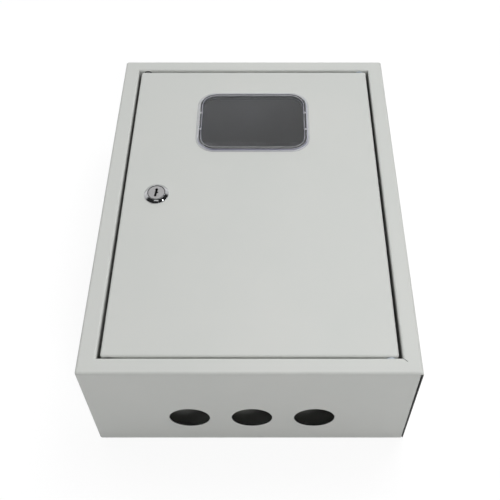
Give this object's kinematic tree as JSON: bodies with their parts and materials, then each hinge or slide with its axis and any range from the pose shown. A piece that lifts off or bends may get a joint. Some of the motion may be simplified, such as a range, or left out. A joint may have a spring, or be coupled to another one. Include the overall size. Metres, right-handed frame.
{
  "type": "metal electrical enclosure",
  "caption": "Wall-mounted sheet-metal electrical enclosure with an inset hinged door, a clear viewing window, a cam lock and round cable entries in its bottom end.",
  "frame": {"origin": "centre of the back face, which lies on the ground or a wall", "axes": "+Z out through the door, +Y to the top end, away from the cable entries, +X to the hinge side"},
  "size_m": [0.3, 0.4, 0.142],
  "materials": {
    "painted_sheet": "light grey powder coat",
    "clear_plastic": "clear, polished",
    "chrome": "polished chrome plate",
    "zinc_steel": "bright zinc plate",
    "copper_plate": "copper-plated weld stud",
    "galvanised_sheet": "galvanised, spangled",
    "brass_bar": "drawn brass",
    "nylon": "natural nylon",
    "blue_plastic": "moulded",
    "green_plastic": "moulded",
    "foam_rubber": "closed-cell foam"
  },
  "bodies": {
    "cabinet": {"cabinet_shell": "painted_sheet", "back_panel": "painted_sheet", "plate_studs": "zinc_steel", "plate_spacers": "zinc_steel", "plate_nuts": "zinc_steel", "rail_screws": "zinc_steel", "neutral_clamp_screws": "zinc_steel", "earth_clamp_screws": "zinc_steel", "neutral_fixing_screws": "zinc_steel", "earth_fixing_screws": "zinc_steel", "cabinet_earth_washer": "zinc_steel", "cabinet_earth_nut": "zinc_steel", "cabinet_earth_stud": "copper_plate", "mounting_plate": "galvanised_sheet", "din_rail": "galvanised_sheet", "neutral_bar": "brass_bar", "earth_bar": "brass_bar", "hinge_bush_upper": "nylon", "hinge_bush_lower": "nylon", "neutral_bar_feet": "blue_plastic", "earth_bar_feet": "green_plastic", "stop_pads": "foam_rubber"},
    "door": {"door_panel": "painted_sheet", "window_pane": "clear_plastic", "hinge_bracket_upper": "painted_sheet", "hinge_bracket_lower": "painted_sheet", "hinge_pin_upper": "zinc_steel", "hinge_pin_lower": "zinc_steel", "hinge_clips": "zinc_steel", "lock_barrel": "chrome", "lock_washer": "zinc_steel", "lock_nut": "zinc_steel", "door_earth_stud": "copper_plate", "door_earth_washer": "zinc_steel", "door_earth_nut": "zinc_steel"},
    "lock": {"lock_plug": "chrome", "lock_cam": "zinc_steel", "cam_washer": "zinc_steel", "cam_screw": "zinc_steel"}
  },
  "joints": [
    {"name": "door_hinge", "type": "hinge", "parent": "cabinet", "child": "door", "pos_m": [0.1236, 0, 0.1338], "axis": [0, 1, 0], "range_deg": [0, 120]},
    {"name": "lock_turn", "type": "hinge", "parent": "door", "child": "lock", "pos_m": [-0.097, -0.0008, 0.142], "axis": [0, 0, 1], "range_deg": [0, 90]}
  ]
}
